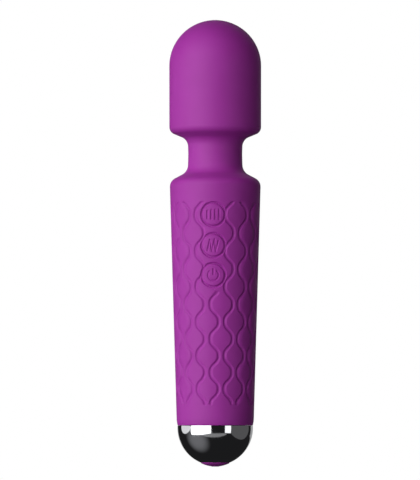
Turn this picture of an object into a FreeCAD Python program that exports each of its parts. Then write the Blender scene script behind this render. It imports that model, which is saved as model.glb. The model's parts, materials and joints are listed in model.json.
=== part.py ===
"""Cordless handheld wand massager, in millimetres.

+Z runs up the long axis with the head at the top, the origin is the lowest point of the base on that axis,
and the three buttons face -Y. Radii are measured from the Z axis.
"""

import FreeCAD, Part
import math
import os
import re

import Sketcher

# Driving dimensions, one spreadsheet cell each.
DIMENSIONS = {
    # outer form of the silicone and the chrome end cap
    "total_length": 205.0,
    "head_radius": 21.1,
    "neck_radius": 12.4,
    "shoulder_radius": 20.9,
    "base_radius": 17.3,
    "taper_radius": 17.62,
    "cap_height": 18.9,
    "shoulder_height": 130.4,
    "neck_bottom": 135.4,
    "neck_middle": 143.4,
    "neck_top": 149.8,
    "rim_height": 153.3,
    "skin": 2.0,
    "head_skin": 2.5,
    "seam_gap": 0.2,
    "slip": 0.1,
    # moulded walls
    "wall": 1.6,
    "head_wall": 1.8,
    # chrome bowl: wall, depth of its ball's centre under the rim, and the collar that plugs into the shells
    "cap_wall": 1.7,
    "cap_drop": 1.1,
    "cap_ledge": 1.6,
    "collar_outer": 13.7,
    "collar_inner": 12.2,
    "collar_length": 6.6,
    # charging port
    "seal_radius": 6.65,
    "seal_flange": 8.0,
    "pin_bore": 1.25,
    "jack_radius": 3.2,
    "jack_bottom": 5.9,
    "bore_length": 9.5,
    "bracket_height": 20.5,
    "bracket_wall": 1.25,
    "bracket_thick": 1.6,
    # battery and board
    "battery_radius": 9.0,
    "battery_length": 65.0,
    "battery_bottom": 36.0,
    "battery_back": 4.4,
    "board_back": 6.6,
    "board_thick": 1.6,
    "board_half_width": 11.0,
    "board_bottom": 76.0,
    "board_top": 124.0,
    "post_across": 8.0,
    "post_radius": 1.6,
    "post_low": 80.2,
    "post_high": 121.0,
    # buttons
    "power_height": 87.2,
    "pattern_height": 100.8,
    "intensity_height": 114.8,
    "pad_radius": 5.4,
    "pad_thick": 1.2,
    "pad_gap": 0.25,
    "key_radius": 4.4,
    "key_gap": 0.4,
    "key_flange": 2.6,
    "stem_radius": 1.6,
    "plunger_radius": 1.75,
    "plunger_fit": 0.05,
    "plunger_front": 12.9,
    "plunger_sunk": 0.9,
    "switch_front": 11.5,
    "switch_side": 6.0,
    # neck
    "seat_radius": 8.0,
    "seat_flange": 10.4,
    "seat_bore": 3.0,
    "seat_spigot": 5.1,
    "spigot_length": 2.2,
    "seat_depth": 134.5,
    "upper_seat_depth": 151.6,
    "spring_radius": 6.3,
    "spring_wire": 0.8,
    "spring_pitch": 2.6,
    "spring_slack": 0.1,
    "lead_radius": 0.6,
    # motor
    "motor_radius": 12.2,
    "motor_bottom": 164.0,
    "motor_top": 184.0,
    "shaft_radius": 1.0,
    "shaft_fit": 0.03,
    "bush_radius": 2.9,
    "bush_fit": 0.02,
    "holder_depth": 2.8,
    "can_wall": 1.0,
    "nose_radius": 4.6,
    "nose_length": 2.0,
    "magnet_length": 15.0,
    "magnet_gap": 0.4,
    "core_radius": 9.0,
    "core_bottom": 170.5,
    "core_length": 8.0,
    "slot_radius": 2.7,
    "slot_reach": 5.9,
    "mouth_width": 1.2,
    "coil_reach": 4.2,
    "coil_width": 6.4,
    "coil_depth": 3.0,
    "coil_overhang": 1.2,
    "commutator_radius": 2.6,
    "commutator_length": 3.4,
    "weight_hub": 3.0,
    "weight_radius": 9.0,
    "weight_bottom": 187.5,
    "weight_length": 8.0,
    # fasteners
    "screw_radius": 0.9,
    "screw_head_radius": 1.7,
    "screw_head_height": 1.3,
    "screw_length": 7.6,
    "screw_seat": 3.4,
    "hex_radius": 0.8,
    "hex_depth": 0.7,
    "thread_fit": 0.03,
    "boss_radius": 1.95,
    "boss_half": 5.0,
    "boss_inset": 6.2,
    "screw_low": 31.0,
    "screw_mid": 70.0,
    "screw_high": 122.0,
    "head_screw_low": 160.6,
    "head_screw_high": 190.0,
}

# Outer radius of the tapered grip at a height, as an expression to be filled in with that height.
GRIP = "(taper_radius + (shoulder_radius - taper_radius) * (%s - cap_height) / (shoulder_height - cap_height))"

document = FreeCAD.newDocument("wand_massager")
sheet = document.addObject("Spreadsheet::Sheet", "Sizes")
for row, (alias, number) in enumerate(DIMENSIONS.items(), start=1):
    sheet.set(f"A{row}", alias)
    sheet.set(f"B{row}", str(number))
    sheet.setAlias(f"B{row}", alias)
document.recompute()

subparts = []


def cells(expression):
    """The expression with every driving dimension's name turned into its spreadsheet cell."""
    return re.sub(r"[a-z_]+", lambda word: ("Sizes." if word[0] in DIMENSIONS else "") + word[0], expression)


def measured(expression):
    """What an expression on the driving dimensions comes to, in millimetres."""
    return float(sheet.evalExpression(cells(expression)))


def keep(label, thing):
    """Makes an object one of the exported sub-parts."""
    thing.Label = label
    subparts.append(thing)
    return thing


def plane_sketch(body, role):
    """A sketch on one of the body's own origin planes."""
    sketch = body.newObject("Sketcher::SketchObject", "outline")
    plane = [feature for feature in body.Origin.OriginFeatures if feature.Role == role][0]
    sketch.AttachmentSupport = [(plane, "")]
    sketch.MapMode = "FlatFace"
    return sketch


def pin_vertex(sketch, edge, vertex, across, up):
    """Ties one end of a sketch edge to a distance across and up from the sketch's origin."""
    for kind, axis, expression in (("DistanceX", -2, across), ("DistanceY", -1, up)):
        value = measured(expression)
        if abs(value) < 1e-9:
            sketch.addConstraint(Sketcher.Constraint("PointOnObject", edge, vertex, axis))
            continue
        index = sketch.addConstraint(Sketcher.Constraint(kind, -1, 1, edge, vertex, value))
        sketch.setExpression(f"Constraints[{index}]", cells(expression))


def turned(name, corners):
    """A body of revolution about Z from the corners of its half section, given as (radius, height) in order.

    A corner marked "dome" starts an arc, centred on the axis, that runs to the next corner.
    """
    body = document.addObject("PartDesign::Body", name)
    sketch = plane_sketch(body, "XZ_Plane")
    points = [FreeCAD.Vector(measured(corner[0]), measured(corner[1]), 0) for corner in corners]
    ends = []
    for corner, start, end in zip(corners, points, points[1:] + points[:1]):
        if len(corner) == 2:
            sketch.addGeometry(Part.LineSegment(start, end), False)
            ends.append((1, 2))
            continue
        centre_height = ((end.x**2 + end.y**2) - (start.x**2 + start.y**2)) / (2 * (end.y - start.y))
        centre = FreeCAD.Vector(0, centre_height, 0)
        circle = Part.Circle(centre, FreeCAD.Vector(0, 0, 1), (start - centre).Length)
        bearings = [math.atan2(point.y - centre_height, point.x) for point in (start, end)]
        sketch.addGeometry(Part.ArcOfCircle(circle, min(bearings), max(bearings)), False)
        ends.append((1, 2) if bearings[0] < bearings[1] else (2, 1))
    for index, corner in enumerate(corners):
        following = (index + 1) % len(corners)
        joined = (index, ends[index][1], following, ends[following][0])
        sketch.addConstraint(Sketcher.Constraint("Coincident", *joined))
        pin_vertex(sketch, index, ends[index][0], corner[0], corner[1])
        if len(corner) > 2:
            sketch.addConstraint(Sketcher.Constraint("PointOnObject", index, 3, -2))
    revolution = body.newObject("PartDesign::Revolution", "turn")
    revolution.Profile = sketch
    revolution.ReferenceAxis = (sketch, ["V_Axis"])
    document.recompute()
    return body


def rounded(body, corners):
    """Fillets the circular edges of a turned body: each corner is (radius, height, fillet radius)."""
    for radius, height, fillet_radius in corners:
        base = body.Tip
        names = []
        for number, edge in enumerate(base.Shape.Edges, start=1):
            if edge.Degenerated or not isinstance(edge.Curve, Part.Circle):
                continue
            near_radius = abs(edge.Curve.Radius - measured(radius)) < 1e-4
            near_height = abs(edge.Curve.Center.z - measured(height)) < 1e-4
            if near_radius and near_height:
                names.append(f"Edge{number}")
        fillet = body.newObject("PartDesign::Fillet", "round")
        fillet.Base = (base, names)
        fillet.Radius = fillet_radius
        body.Tip = fillet
        document.recompute()
    return body


def placed(thing, across, deep, up, rotation=None):
    """Binds an object's position to expressions and gives it a fixed rotation."""
    if rotation is not None:
        thing.Placement = FreeCAD.Placement(FreeCAD.Vector(), rotation)
    for axis, expression in (("x", across), ("y", deep), ("z", up)):
        thing.setExpression(f"Placement.Base.{axis}", cells(expression))
    return thing


ALONG_Y = FreeCAD.Rotation(FreeCAD.Vector(1, 0, 0), -90)
ALONG_Z = FreeCAD.Rotation()


def rod(radius, length, across="0", deep="0", up="0", rotation=ALONG_Z, angle=360):
    """A round bar of the given radius and length that starts at a point."""
    bar = document.addObject("Part::Cylinder", "rod")
    bar.setExpression("Radius", cells(radius))
    bar.setExpression("Height", cells(length))
    bar.Angle = angle
    return placed(bar, across, deep, up, rotation)


def block(width, depth, height, across, deep, up, rotation=None):
    """A rectangular block with its lowest corner at a point."""
    slab = document.addObject("Part::Box", "block")
    slab.setExpression("Length", cells(width))
    slab.setExpression("Width", cells(depth))
    slab.setExpression("Height", cells(height))
    return placed(slab, across, deep, up, rotation)


def fused(things):
    """One object made of several that touch or overlap."""
    if len(things) == 1:
        return things[0]
    union = document.addObject("Part::MultiFuse", "union")
    union.Shapes = things
    return union


def cut(base, tools):
    """The base with every tool taken away."""
    difference = document.addObject("Part::Cut", "difference")
    difference.Base = base
    difference.Tool = fused(tools)
    return difference


def common(first, second):
    """What two objects share."""
    shared = document.addObject("Part::Common", "shared")
    shared.Base = first
    shared.Tool = second
    return shared


def group(things):
    """Separate solids kept together in one node."""
    cluster = document.addObject("Part::Compound", "cluster")
    cluster.Links = things
    return cluster


def wire_path(points):
    """A path of straight runs joined by tangent arcs, each as large as its two runs allow."""
    corners = [FreeCAD.Vector(*point) for point in points]
    edges = []
    start = corners[0]
    for before, corner, after in zip(corners, corners[1:], corners[2:]):
        run_in = before - corner
        run_out = after - corner
        turn = math.pi - run_in.getAngle(run_out)
        setback = 0.45 * min(run_in.Length, run_out.Length)
        bisector = (run_in.normalize() + run_out.normalize()).normalize()
        radius = setback / math.tan(turn / 2)
        entry = corner + run_in * setback
        leave = corner + run_out * setback
        middle = corner + bisector * (radius / math.cos(turn / 2) - radius)
        edges.append(Part.LineSegment(start, entry).toShape())
        edges.append(Part.Arc(entry, middle, leave).toShape())
        start = leave
    edges.append(Part.LineSegment(start, corners[-1]).toShape())
    return Part.Wire(edges)


def leads(routes):
    """Insulated wires along routes: the sheet gives their radius, and each is a swept circle."""
    radius = measured("lead_radius")
    tubes = []
    for points in routes:
        path = wire_path(points)
        direction = path.Edges[0].tangentAt(path.Edges[0].FirstParameter)
        circle = Part.Wire(Part.makeCircle(radius, FreeCAD.Vector(*points[0]), direction))
        tubes.append(path.makePipeShell([circle], True, False))
    harness = document.addObject("Part::Feature", "leads")
    harness.Shape = Part.makeCompound(tubes)
    harness.Placement = FreeCAD.Placement()
    return harness


# ---------------------------------------------------------------- base: chrome cap and charging port


def end_cap():
    """Chrome-plated bowl with a collar that plugs into the handle shells and a hole for the port seal."""
    ball = "(cap_height - cap_drop)"
    inside = "(base_radius - cap_wall)"
    port = "(seal_radius + slip)"
    ledge = f"({ball} - cap_ledge)"
    corners = [
        (port, f"{ball} - sqrt(base_radius^2 - {port}^2)", "dome"),
        ("base_radius", ball),
        ("base_radius", "cap_height - seam_gap"),
        ("collar_outer", "cap_height - seam_gap"),
        ("collar_outer", "cap_height + collar_length"),
        ("collar_inner", "cap_height + collar_length"),
        ("collar_inner", ledge),
        (f"sqrt({inside}^2 - cap_ledge^2)", ledge, "dome"),
        (port, f"{ball} - sqrt({inside}^2 - {port}^2)"),
    ]
    keep("end_cap", turned("end_cap", corners))


def port_seal():
    """Soft plug in the cap's hole, with an inner flange and a bore for the charger's pin."""
    hole = "pin_bore + slip"
    corners = [
        (hole, "0"),
        ("3.6", "0.12"),
        ("5.6", "0.75"),
        ("seal_radius", "1.75"),
        ("seal_radius", "4.6"),
        ("seal_flange", "4.6"),
        ("seal_flange", "jack_bottom - slip"),
        (hole, "jack_bottom - slip"),
    ]
    keep("port_seal", turned("port_seal", corners))


def charging_jack():
    """Round pin jack with a blind bore that opens downwards."""
    top = "jack_bottom + bore_length + 1.2"
    corners = [
        ("pin_bore", "jack_bottom"),
        ("jack_radius", "jack_bottom"),
        ("jack_radius", top),
        ("0", top),
        ("0", "jack_bottom + bore_length"),
        ("pin_bore", "jack_bottom + bore_length"),
    ]
    keep("charging_jack", turned("charging_jack", corners))


def jack_bracket():
    """Ring in the collar whose sleeve holds the charging jack."""
    hole = "jack_radius + slip / 2"
    sleeve = f"{hole} + bracket_wall"
    rim = "collar_inner - slip"
    corners = [
        (hole, "jack_bottom + 3.6"),
        (sleeve, "jack_bottom + 3.6"),
        (sleeve, "bracket_height"),
        (rim, "bracket_height"),
        (rim, "bracket_height + bracket_thick"),
        (hole, "bracket_height + bracket_thick"),
    ]
    keep("jack_bracket", turned("jack_bracket", corners))


# ---------------------------------------------------------------- handle: skin, shells and their screws

BUTTON_HEIGHTS = {"intensity": "intensity_height", "pattern": "pattern_height", "power": "power_height"}


def grip_blank():
    """The whole handle skin before its button holes are cut."""
    inner = "(%s - skin)" % (GRIP % "cap_height")
    corners = [
        (f"{inner}", "cap_height"),
        ("taper_radius", "cap_height"),
        ("shoulder_radius", "shoulder_height"),
        ("neck_radius + 0.4", "neck_bottom"),
        ("neck_radius + 0.2", "neck_bottom + 2"),
        ("neck_radius - skin", "neck_bottom + 2"),
        ("neck_radius - skin", "neck_bottom - 2.2"),
        ("shoulder_radius - skin - 1.2", "shoulder_height - 1.1"),
        ("shoulder_radius - skin", "shoulder_height - 2.9"),
    ]
    body = turned("grip_blank", corners)
    return rounded(
        body,
        [
            ("shoulder_radius", "shoulder_height", 3.0),
            ("neck_radius + 0.4", "neck_bottom", 2.0),
            ("taper_radius", "cap_height", 0.4),
        ],
    )


def grip_sleeve(blank):
    """Silicone handle skin with a round hole for each button pad."""
    holes = []
    for height in BUTTON_HEIGHTS.values():
        radius = "pad_radius + pad_gap"
        holes.append(rod(radius, "shoulder_radius", "0", "0 - 2 * neck_radius", height, ALONG_Y))
    keep("grip_sleeve", cut(blank, holes))


def shell_blank():
    """The hard handle core, both halves together: a tapered tube closed at the top around the spring seat."""
    outer_low = "(%s - skin - slip)" % (GRIP % "(cap_height + slip)")
    outer_high = "(shoulder_radius - skin - slip)"
    corners = [
        (outer_low, "cap_height + slip"),
        (outer_high, "shoulder_height - 3"),
        (f"{outer_high} - 1.3", "shoulder_height - 1.2"),
        ("seat_flange + 1", "shoulder_height + 1.2"),
        ("seat_radius + slip", "shoulder_height + 1.2"),
        ("seat_radius + slip", "shoulder_height - 0.6"),
        ("seat_flange + 0.8", "shoulder_height - 0.6"),
        (f"{outer_high} - wall - 1", "shoulder_height - 2.9"),
        (f"{outer_high} - wall", "shoulder_height - 4.4"),
        (f"{outer_low} - wall", "cap_height + slip"),
    ]
    return turned("shell_blank", corners)


def screw_places():
    """Across and up expressions of the six handle screws."""
    places = []
    for height in ("screw_low", "screw_mid", "screw_high"):
        for side in ("", "0 - "):
            places.append((side + "(%s - boss_inset)" % (GRIP % height), height))
    return places


def clamshell(name, blank, places, openings, posts):
    """Splits a hard core at Y = 0 into two halves with screw bosses, and bores them for their screws."""
    bosses = []
    shanks = []
    recesses = []
    for across, up in places:
        shank = "screw_radius + thread_fit"
        bosses.append(rod("boss_radius", "2 * boss_half", across, "0 - boss_half", up, ALONG_Y))
        shanks.append(rod(shank, "screw_length + 1.8", across, "screw_seat - screw_length - 0.2", up, ALONG_Y))
        recesses.append(rod("screw_head_radius + slip", "shoulder_radius", across, "screw_seat", up, ALONG_Y))
    core = fused([blank] + bosses)
    reach = "(2 * head_radius)"
    for side, deep, extra, added in (("front", f"0 - {reach}", openings, posts), ("rear", "0", recesses, [])):
        half_space = block(f"2 * {reach}", reach, "total_length", f"0 - {reach}", deep, "0")
        half = common(core, half_space)
        keep(f"{name}_{side}_shell", cut(fused([half] + added), shanks + extra))


def machine_screws(places, shank, head_at):
    """Pan-head screws along Y: a shank with its head at the rear."""
    screws = []
    for across, up in places:
        body = rod("screw_radius", shank, across, f"{head_at} - {shank}", up, ALONG_Y)
        head = rod("screw_head_radius", "screw_head_height", across, head_at, up, ALONG_Y)
        socket_at = f"{head_at} + screw_head_height - hex_depth"
        socket = rod("hex_radius", "hex_depth", across, socket_at, up, ALONG_Y)
        screws.append(cut(fused([body, head]), [socket]))
    return group(screws)


BOARD_SCREW_PLACES = [
    (across, up) for up in ("post_low", "post_high") for across in ("post_across", "0 - post_across")
]


def board_posts():
    """Posts from the front shell's wall that carry the circuit board, bored for its screws."""
    posts = []
    for across, up in BOARD_SCREW_PLACES:
        reach = "(sqrt((%s - skin - slip)^2 - (post_across + post_radius)^2) - 0.02)" % (GRIP % up)
        board_front = "(board_back + board_thick)"
        body = rod("post_radius", f"{reach} - {board_front}", across, f"0 - {reach}", up, ALONG_Y)
        bore = rod("screw_radius + thread_fit", "3", across, f"0 - {board_front} - 2.9", up, ALONG_Y)
        posts.append(cut(body, [bore]))
    return posts


def handle_shells():
    """Front and rear halves of the handle's hard core, and the six screws that join them."""
    openings = []
    for height in BUTTON_HEIGHTS.values():
        radius = "key_radius + key_gap"
        openings.append(rod(radius, "neck_radius", "0", "0 - 2 * neck_radius", height, ALONG_Y))
    places = screw_places()
    clamshell("handle", shell_blank(), places, openings, board_posts())
    keep("shell_screws", machine_screws(places, "screw_length", "screw_seat"))


# ---------------------------------------------------------------- handle: battery, board and switches


def battery():
    """Cylindrical cell behind the board, in a shrink sleeve, with a nickel tab on each end."""
    cell = rod("battery_radius", "battery_length", "0", "battery_back", "battery_bottom")
    keep("battery_cell", cell)
    sleeve = rod("battery_radius + 0.2", "battery_length", "0", "battery_back", "battery_bottom")
    core = rod("battery_radius + 0.02", "battery_length + 2", "0", "battery_back", "battery_bottom - 1")
    keep("battery_wrap", cut(sleeve, [core]))
    top = "battery_bottom + battery_length"
    tabs = [
        block("6", "8", "0.3", "0 - 3", "battery_back - 6", "battery_bottom - 0.3"),
        block("6", "8", "0.3", "0 - 3", "battery_back - 6", top),
    ]
    keep("battery_tabs", group(tabs))
    keep("foam_pad", block("10", "1", "14", "0 - 5", "0 - 5.95", "84"))


def circuit_board():
    """Board that faces the buttons, its four screws, chips on its back and lights beside the switches."""
    front = "(board_back + board_thick)"
    half = "board_half_width"
    tall = "board_top - board_bottom"
    slab = block(f"2 * {half}", "board_thick", tall, f"0 - {half}", f"0 - {front}", "board_bottom")
    holes = []
    for across, up in BOARD_SCREW_PLACES:
        holes.append(rod("screw_radius + 0.2", "4", across, f"0 - {front} - 1", up, ALONG_Y))
    keep("circuit_board", cut(slab, holes))
    keep("board_screws", machine_screws(BOARD_SCREW_PLACES, "4.4", "0 - board_back"))
    chips = [
        block("5", "1.3", "5", "0 - 10", "0 - board_back", "104"),
        block("4", "1.3", "6", "6", "0 - board_back", "106"),
        block("3", "1.0", "3", "0 - 9", "0 - board_back", "86"),
    ]
    keep("control_chips", group(chips))
    lights = []
    for height in BUTTON_HEIGHTS.values():
        lights.append(block("1.6", "0.8", "0.8", "3.9", f"0 - {front} - 0.8", f"{height} - 0.4"))
    keep("status_lights", group(lights))


def button(name, height, skin_blank):
    """One button: its switch on the board, and the plunger, key and silicone pad that travel together."""
    front = "(board_back + board_thick)"
    side = "switch_side"
    deep = f"switch_front - {front}"
    housing = block(side, deep, side, f"0 - {side} / 2", "0 - switch_front", f"{height} - {side} / 2")
    well = rod("plunger_radius + plunger_fit", "2.2", "0", "0 - switch_front - 0.2", height, ALONG_Y)
    keep(f"{name}_switch", cut(housing, [well]))
    travel = "plunger_front - switch_front + plunger_sunk"
    keep(f"{name}_plunger", rod("plunger_radius", travel, "0", "0 - plunger_front", height, ALONG_Y))
    back = "(%s - pad_thick)" % (GRIP % height)
    flange = rod("key_radius", "key_flange", "0", f"0 - {back}", height, ALONG_Y)
    stem_at = f"{back} - key_flange + 0.2"
    stem = rod("stem_radius", f"{stem_at} - plunger_front", "0", f"0 - ({stem_at})", height, ALONG_Y)
    keep(f"{name}_key", fused([flange, stem]))
    column = rod("pad_radius", "5 * pad_thick", "0", f"0 - {back} - 5 * pad_thick", height, ALONG_Y)
    keep(f"{name}_pad", common(skin_blank, column))


# ---------------------------------------------------------------- neck: spring, seats and sleeve


def spring_seats():
    """A flanged cup at each end of the neck spring, bored for the motor leads."""
    lower = [
        ("seat_bore", "shoulder_height - 2.8"),
        ("seat_flange", "shoulder_height - 2.8"),
        ("seat_flange", "shoulder_height - 0.7"),
        ("seat_radius", "shoulder_height - 0.7"),
        ("seat_radius", "seat_depth"),
        ("seat_spigot", "seat_depth"),
        ("seat_spigot", "seat_depth + spigot_length"),
        ("seat_bore", "seat_depth + spigot_length"),
    ]
    keep("lower_spring_seat", turned("lower_spring_seat", lower))
    upper = [
        ("seat_bore", "upper_seat_depth - spigot_length"),
        ("seat_spigot", "upper_seat_depth - spigot_length"),
        ("seat_spigot", "upper_seat_depth"),
        ("seat_radius", "upper_seat_depth"),
        ("seat_radius", "rim_height + 2.9"),
        ("seat_flange", "rim_height + 2.9"),
        ("seat_flange", "rim_height + 4.9"),
        ("seat_bore", "rim_height + 4.9"),
    ]
    keep("upper_spring_seat", turned("upper_spring_seat", upper))


def neck_spring():
    """Steel coil spring between the seats, which lets the head bend and brings it back upright."""
    body = document.addObject("PartDesign::Body", "neck_spring")
    sketch = plane_sketch(body, "XZ_Plane")
    wire = measured("spring_wire")
    first_turn = "seat_depth + spring_wire + spring_slack"
    start = FreeCAD.Vector(measured("spring_radius"), measured(first_turn), 0)
    sketch.addGeometry(Part.Circle(start, FreeCAD.Vector(0, 0, 1), wire), False)
    for constraint, expression in (
        (Sketcher.Constraint("DistanceX", -1, 1, 0, 3, start.x), "spring_radius"),
        (Sketcher.Constraint("DistanceY", -1, 1, 0, 3, start.y), first_turn),
        (Sketcher.Constraint("Radius", 0, wire), "spring_wire"),
    ):
        index = sketch.addConstraint(constraint)
        sketch.setExpression(f"Constraints[{index}]", cells(expression))
    coil = body.newObject("PartDesign::AdditiveHelix", "coil")
    coil.Profile = sketch
    coil.ReferenceAxis = (sketch, ["V_Axis"])
    coil.Mode = "pitch-height-angle"
    coil.setExpression("Pitch", cells("spring_pitch"))
    coil.setExpression("Height", cells("upper_seat_depth - seat_depth - 2 * (spring_wire + spring_slack)"))
    coil.Angle = 0
    document.recompute()
    keep("neck_spring", body)


def neck_sleeve():
    """Soft waist of the silicone between the grip sleeve and the head cover."""
    corners = [
        ("neck_radius - skin", "neck_bottom + 2.1"),
        ("neck_radius + 0.18", "neck_bottom + 2.1"),
        ("neck_radius", "neck_middle"),
        ("neck_radius + 0.2", "neck_top - 2.1"),
        ("neck_radius - skin", "neck_top - 2.1"),
    ]
    keep("neck_sleeve", turned("neck_sleeve", corners))


# ---------------------------------------------------------------- head: cover, shells and screws


def head_cover():
    """Silicone cap over the head: dome, cylinder, rounded underside and a short collar at the neck."""
    dome = "(total_length - head_radius)"
    inner = "(head_radius - head_skin)"
    corners = [
        ("neck_radius - skin", "neck_top - 2"),
        ("neck_radius + 0.2", "neck_top - 2"),
        ("neck_radius + 0.4", "neck_top"),
        ("head_radius", "rim_height"),
        ("head_radius", dome, "dome"),
        ("0", "total_length"),
        ("0", "total_length - head_skin", "dome"),
        (inner, dome),
        (inner, "rim_height + 3.6"),
        (f"{inner} - 1.6", "rim_height + 1.9"),
        ("14.5", "rim_height + 0.5"),
        ("neck_radius - skin", "rim_height + 0.3"),
    ]
    body = turned("head_cover", corners)
    rounded(body, [("head_radius", "rim_height", 3.2), ("neck_radius + 0.4", "neck_top", 1.4)])
    keep("head_cover", body)


HEAD_SHELL = "(head_radius - head_skin - slip)"


def head_shells():
    """Front and rear halves of the head's hard capsule, with rings that hold the motor, and four screws."""
    dome = "(total_length - head_radius)"
    inside = f"({HEAD_SHELL} - head_wall)"
    ring = "(motor_radius + 1.3)"
    corners = [
        ("seat_radius + slip", "rim_height + 0.9"),
        ("14.3", "rim_height + 0.9"),
        (f"{HEAD_SHELL} - 1.6", "rim_height + 2.3"),
        (HEAD_SHELL, "rim_height + 3.9"),
        (HEAD_SHELL, dome, "dome"),
        ("0", f"{dome} + {HEAD_SHELL}"),
        ("0", f"{dome} + {inside}", "dome"),
        (inside, dome),
        (inside, "motor_top - 3"),
        (ring, "motor_top - 3"),
        (ring, "motor_top - 4.6"),
        (inside, "motor_top - 4.6"),
        (inside, "motor_bottom + 6.6"),
        (ring, "motor_bottom + 6.6"),
        (ring, "motor_bottom + 5"),
        (inside, "motor_bottom + 5"),
        (inside, "rim_height + 5.2"),
        (f"{inside} - 2.4", "rim_height + 2.8"),
        ("seat_radius + slip", "rim_height + 2.8"),
    ]
    places = []
    for inset, up in (("3.1", "head_screw_low"), ("4.9", "head_screw_high")):
        across = f"({HEAD_SHELL} - {inset})"
        places.append((across, up))
        places.append((f"0 - {across}", up))
    clamshell("head", turned("head_blank", corners), places, [], [])
    keep("head_screws", machine_screws(places, "screw_length", "screw_seat"))


# ---------------------------------------------------------------- motor


def motor_case():
    """Steel can, its two magnets, the brush holder that closes it, the brushes and the two bearing bushes."""
    bush_seat = "bush_radius + bush_fit"
    inside = "motor_radius - can_wall"
    can = [
        (inside, "motor_bottom"),
        ("motor_radius", "motor_bottom"),
        ("motor_radius", "motor_top"),
        ("nose_radius", "motor_top"),
        ("nose_radius", "motor_top + nose_length"),
        (bush_seat, "motor_top + nose_length"),
        (bush_seat, "motor_top - can_wall"),
        (inside, "motor_top - can_wall"),
    ]
    keep("motor_can", turned("motor_can", can))
    magnets = []
    for turn in (30, 210):
        rotation = FreeCAD.Rotation(FreeCAD.Vector(0, 0, 1), turn)
        outer = rod(f"{inside} - 0.05", "magnet_length", "0", "0", "motor_bottom + 2.4", rotation, 120)
        inner = rod("core_radius + magnet_gap", "magnet_length + 2", "0", "0", "motor_bottom + 1.4")
        magnets.append(cut(outer, [inner]))
    keep("motor_magnets", group(magnets))
    spigot = f"{inside} - 0.05"
    holder = [
        (bush_seat, "motor_bottom - holder_depth"),
        ("motor_radius", "motor_bottom - holder_depth"),
        ("motor_radius", "motor_bottom - bush_fit"),
        (spigot, "motor_bottom - bush_fit"),
        (spigot, "motor_bottom + 1.4"),
        (bush_seat, "motor_bottom + 1.4"),
    ]
    keep("brush_holder", turned("brush_holder", holder))
    brushes = []
    for across in ("commutator_radius + 0.03", "0 - commutator_radius - 3.03"):
        brushes.append(block("3", "1.6", "2.4", across, "0 - 0.8", "motor_bottom + 2"))
    keep("motor_brushes", group(brushes))
    for name, bottom, length in (
        ("lower_bearing", "motor_bottom - holder_depth", "holder_depth + 1.2"),
        ("upper_bearing", "motor_top - can_wall", "can_wall + nose_length"),
    ):
        bush = rod("bush_radius", length, "0", "0", bottom)
        bore = rod("shaft_radius + shaft_fit", "6", "0", "0", f"{bottom} - 1")
        keep(name, cut(bush, [bore]))
    sleeve = rod("motor_radius + 1.2", "motor_top - motor_bottom - 1", "0", "0", "motor_bottom + 0.5")
    inside = rod("motor_radius + 0.05", "motor_top - motor_bottom + 2", "0", "0", "motor_bottom - 1")
    keep("motor_sleeve", cut(sleeve, [inside]))


def spoke(turn, reach, aside):
    """Across and deep expressions of a point at a reach along a spoke turned by some degrees, moved aside."""
    return (
        f"{reach} * cos({turn}deg) + {aside} * sin({turn}deg)",
        f"{reach} * sin({turn}deg) - {aside} * cos({turn}deg)",
    )


def motor_rotor():
    """What spins: shaft, three-pole laminated core, its windings, commutator and the eccentric weight."""
    shaft_length = "weight_bottom + weight_length - motor_bottom + 4"
    keep("motor_shaft", rod("shaft_radius", shaft_length, "0", "0", "motor_bottom - 3"))
    bore = "shaft_radius + bush_fit"
    slug = rod("core_radius", "core_length", "0", "0", "core_bottom")
    slots = [rod(bore, "core_length + 2", "0", "0", "core_bottom - 1")]
    coils = []
    for pole in range(3):
        turn = 60 + 120 * pole
        tall = "core_length + 2"
        bottom = "core_bottom - 1"
        across, deep = spoke(turn, "slot_reach", "0")
        slots.append(rod("slot_radius", tall, across, deep, bottom))
        across, deep = spoke(turn, "slot_reach", "mouth_width / 2")
        rotation = FreeCAD.Rotation(FreeCAD.Vector(0, 0, 1), turn)
        slots.append(block("core_radius", "mouth_width", tall, across, deep, bottom, rotation))
        turn = 120 * pole
        tall = "core_length + 2 * coil_overhang"
        bottom = "core_bottom - coil_overhang"
        across, deep = spoke(turn, "coil_reach", "coil_width / 2")
        rotation = FreeCAD.Rotation(FreeCAD.Vector(0, 0, 1), turn)
        coils.append(block("coil_depth", "coil_width", tall, across, deep, bottom, rotation))
    core = cut(slug, slots)
    keep("armature_core", core)
    keep("armature_windings", group([cut(coil, [core]) for coil in coils]))
    ring = rod("commutator_radius", "commutator_length", "0", "0", "motor_bottom + 1.6")
    keep("commutator", cut(ring, [rod(bore, "commutator_length + 2", "0", "0", "motor_bottom + 0.6")]))
    half_turn = FreeCAD.Rotation(FreeCAD.Vector(0, 0, 1), 180)
    lobe = rod("weight_radius", "weight_length", "0", "0", "weight_bottom", half_turn, 180)
    hub = rod("weight_hub", "weight_length", "0", "0", "weight_bottom")
    hole = rod(bore, "weight_length + 2", "0", "0", "weight_bottom - 1")
    keep("eccentric_weight", cut(fused([lobe, hub]), [hole]))


# ---------------------------------------------------------------- wiring inside the case


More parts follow.
